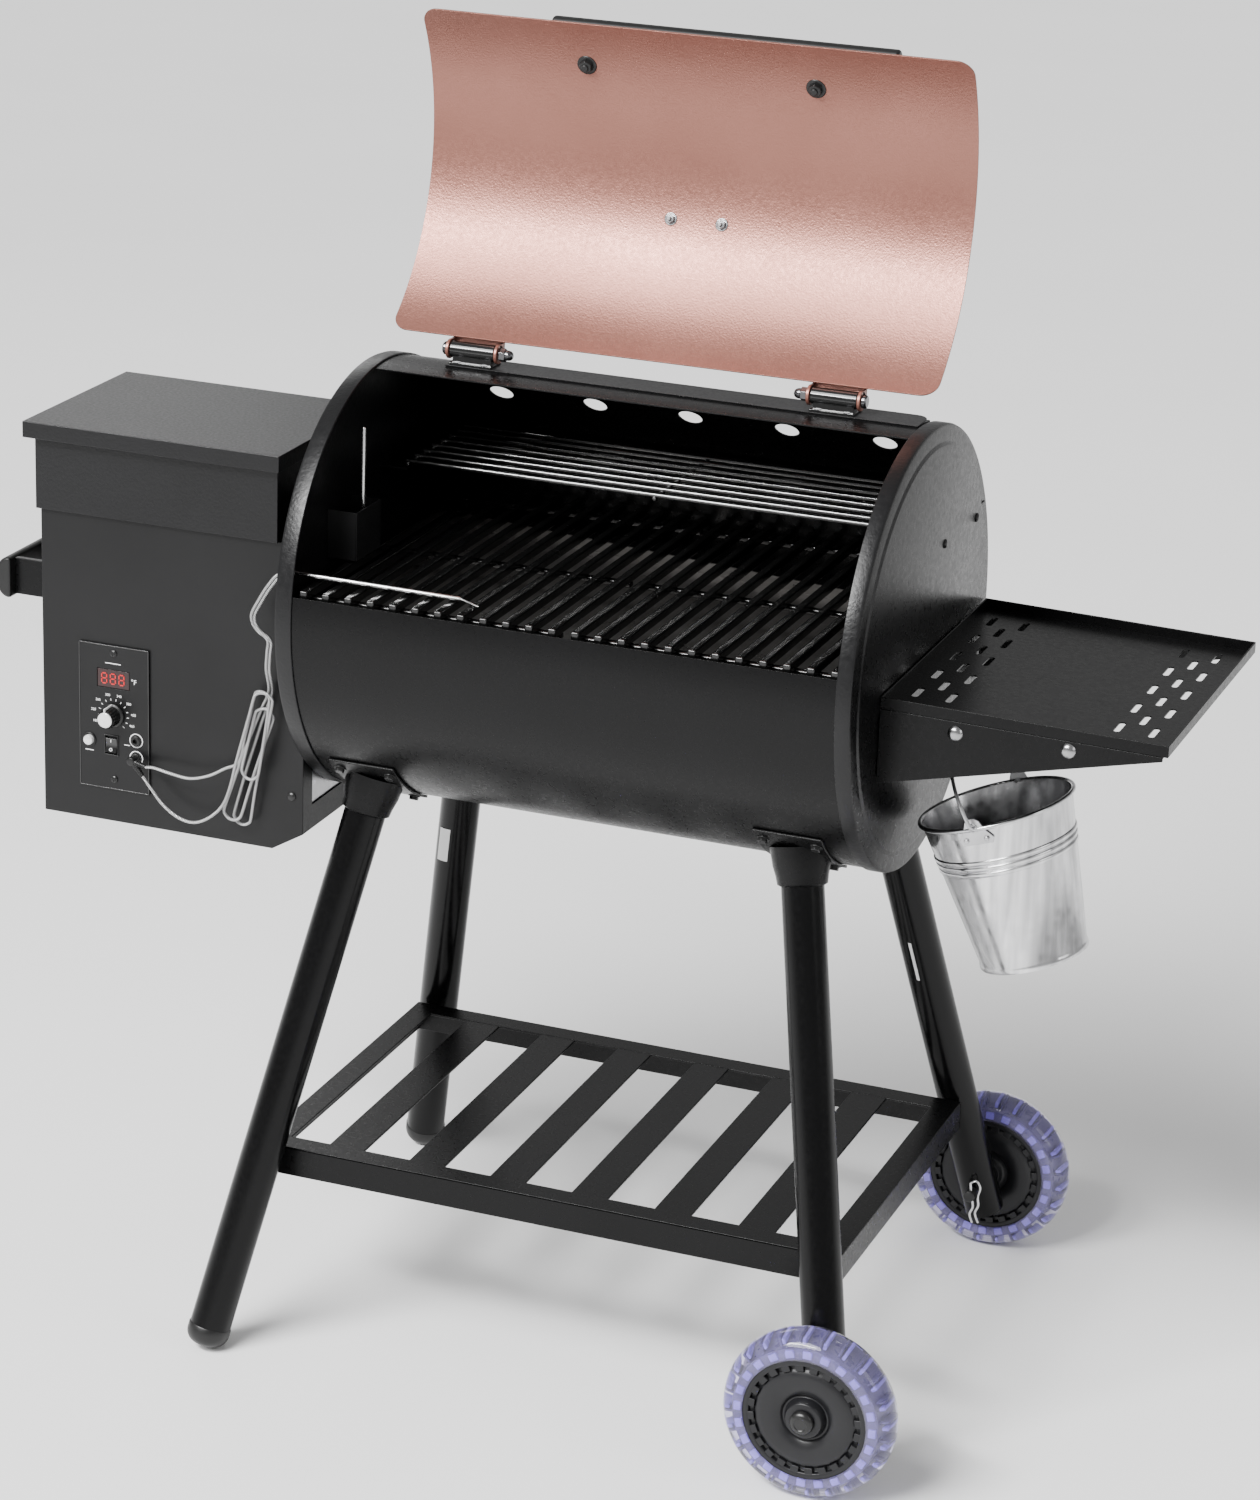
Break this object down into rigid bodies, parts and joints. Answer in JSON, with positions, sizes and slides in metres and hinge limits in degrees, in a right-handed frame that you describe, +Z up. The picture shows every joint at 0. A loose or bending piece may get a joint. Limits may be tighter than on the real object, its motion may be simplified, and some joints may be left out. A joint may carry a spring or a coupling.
{
  "type": "wood pellet smoker grill",
  "caption": "Horizontal barrel pellet grill with open curved lid, side hopper with controller, slotted side shelf, hanging grease bucket and slatted bottom shelf on two wheels.",
  "frame": {"origin": "centre of the bounding box at the floor, without the probe cables", "axes": "+Z up, front of the grill towards -Y, hopper towards -X and side shelf towards +X"},
  "size_m": [1.184, 0.644, 1.2714],
  "materials": {
    "powder_black": "satin, fine hammered powder coat",
    "powder_copper": "copper-bronze hammered powder coat",
    "black_steel": "semi-matte black",
    "cast_black": "porcelain enamel, semi-matte",
    "stainless": "bright stainless",
    "galvanised": "galvanised, soft spangle",
    "chrome": "polished, dark",
    "silver_plastic": "glossy silver",
    "black_plastic": "satin black",
    "dark_hub": "semi-matte dark grey",
    "violet_tyre": "glossy violet, slightly translucent",
    "red_display": "red display behind a clear window",
    "braid": "fine steel braid"
  },
  "bodies": {
    "grill_body": {"barrel_shell": "powder_black", "end_cap_left": "powder_black", "end_cap_right": "powder_black", "hopper_body": "powder_black", "hopper_collar": "powder_black", "control_panel": "powder_black", "leg_front_left": "powder_black", "leg_rear_left": "powder_black", "leg_front_right": "powder_black", "leg_rear_right": "powder_black", "bottom_shelf": "powder_black", "side_shelf": "powder_black", "side_bracket_front": "powder_black", "side_bracket_rear": "powder_black", "heat_baffle": "black_steel", "auger_motor": "black_steel", "sensor_guard": "black_steel", "grease_spout": "black_steel", "wheel_axle_front": "black_steel", "wheel_axle_rear": "black_steel", "grate_left": "cast_black", "fire_pot": "stainless", "temperature_sensor": "stainless", "meat_probe": "stainless", "drip_tray": "galvanised", "auger_tube": "galvanised", "blower_housing": "galvanised", "pellet_bin": "galvanised", "hinge_base_left": "chrome", "hinge_base_right": "chrome", "push_handle": "black_plastic", "power_inlet": "black_plastic", "foot_front_left": "black_plastic", "foot_rear_left": "black_plastic", "probe_plug": "black_plastic", "display": "red_display", "probe_cable_upper": "braid", "probe_cable_lower": "braid", "probe_cable_lead": "braid", "cable_hank": "braid"},
    "lid_body": {"lid": "powder_copper", "lid_handle": "black_plastic", "nameplate": "stainless", "hinge_leaf_left": "powder_copper", "hinge_leaf_right": "powder_copper"},
    "hopper_lid_body": {"hopper_lid": "powder_black"},
    "knob_body": {"knob": "black_plastic"},
    "prime_button_body": {"prime_button": "silver_plastic"},
    "rocker_body": {"rocker_switch": "black_plastic"},
    "auger_body": {"auger_screw": "black_steel"},
    "blower_body": {"blower_wheel": "black_plastic"},
    "wheel_front_body": {"wheel_hub_front": "dark_hub", "wheel_tyre_front": "violet_tyre"},
    "wheel_rear_body": {"wheel_hub_rear": "dark_hub", "wheel_tyre_rear": "violet_tyre"},
    "grate_right_body": {"grate_right": "cast_black"},
    "warming_rack_body": {"warming_rack": "stainless"},
    "bail_body": {"bail": "galvanised"},
    "bucket_body": {"bucket": "galvanised"}
  },
  "joints": [
    {"name": "lid_hinge", "type": "hinge", "parent": "grill_body", "child": "lid_body", "pos_m": [0.0375, 0.0153, 0.9599], "axis": [-1, 0, 0], "range_deg": [-144.5, 0]},
    {"name": "hopper_lid_hinge", "type": "hinge", "parent": "grill_body", "child": "hopper_lid_body", "pos_m": [-0.4034, 0.0576, 0.867], "axis": [-1, 0, 0], "range_deg": [0, 100]},
    {"name": "knob_turn", "type": "hinge", "parent": "grill_body", "child": "knob_body", "pos_m": [-0.451, -0.146, 0.595], "axis": [0, 1, 0], "range_deg": [-135, 135]},
    {"name": "prime_press", "type": "slide", "parent": "grill_body", "child": "prime_button_body", "axis": [0, 1, 0], "range_m": [0, 0.003], "stiffness_N_per_m": 400},
    {"name": "power_rocker", "type": "hinge", "parent": "grill_body", "child": "rocker_body", "pos_m": [-0.4532, -0.1422, 0.5635], "axis": [1, 0, 0], "range_deg": [0, 16]},
    {"name": "auger_turn", "type": "hinge", "parent": "grill_body", "child": "auger_body", "pos_m": [-0.426, 0, 0.566], "axis": [1, 0, 0], "continuous": true},
    {"name": "blower_turn", "type": "hinge", "parent": "grill_body", "child": "blower_body", "pos_m": [-0.34, -0.06, 0.54], "axis": [0, 1, 0], "continuous": true},
    {"name": "wheel_front_roll", "type": "hinge", "parent": "grill_body", "child": "wheel_front_body", "pos_m": [0.34161, -0.291, 0.0835], "axis": [0, 1, 0], "continuous": true},
    {"name": "wheel_rear_roll", "type": "hinge", "parent": "grill_body", "child": "wheel_rear_body", "pos_m": [0.34161, 0.291, 0.0835], "axis": [0, 1, 0], "continuous": true},
    {"name": "grate_right_lift", "type": "slide", "parent": "grill_body", "child": "grate_right_body", "axis": [0, -0.5, 0.866], "range_m": [0, 0.06]},
    {"name": "warming_rack_slide", "type": "slide", "parent": "grill_body", "child": "warming_rack_body", "axis": [0, -1, 0], "range_m": [0, 0.085]},
    {"name": "bail_swing", "type": "hinge", "parent": "grill_body", "child": "bail_body", "pos_m": [0.362, 0, 0.66225], "axis": [0, 1, 0], "range_deg": [-25, 0]},
    {"name": "bucket_swing", "type": "hinge", "parent": "bail_body", "child": "bucket_body", "pos_m": [0.401, 0, 0.5947], "axis": [0, 1, 0], "range_deg": [-40, 0]}
  ]
}
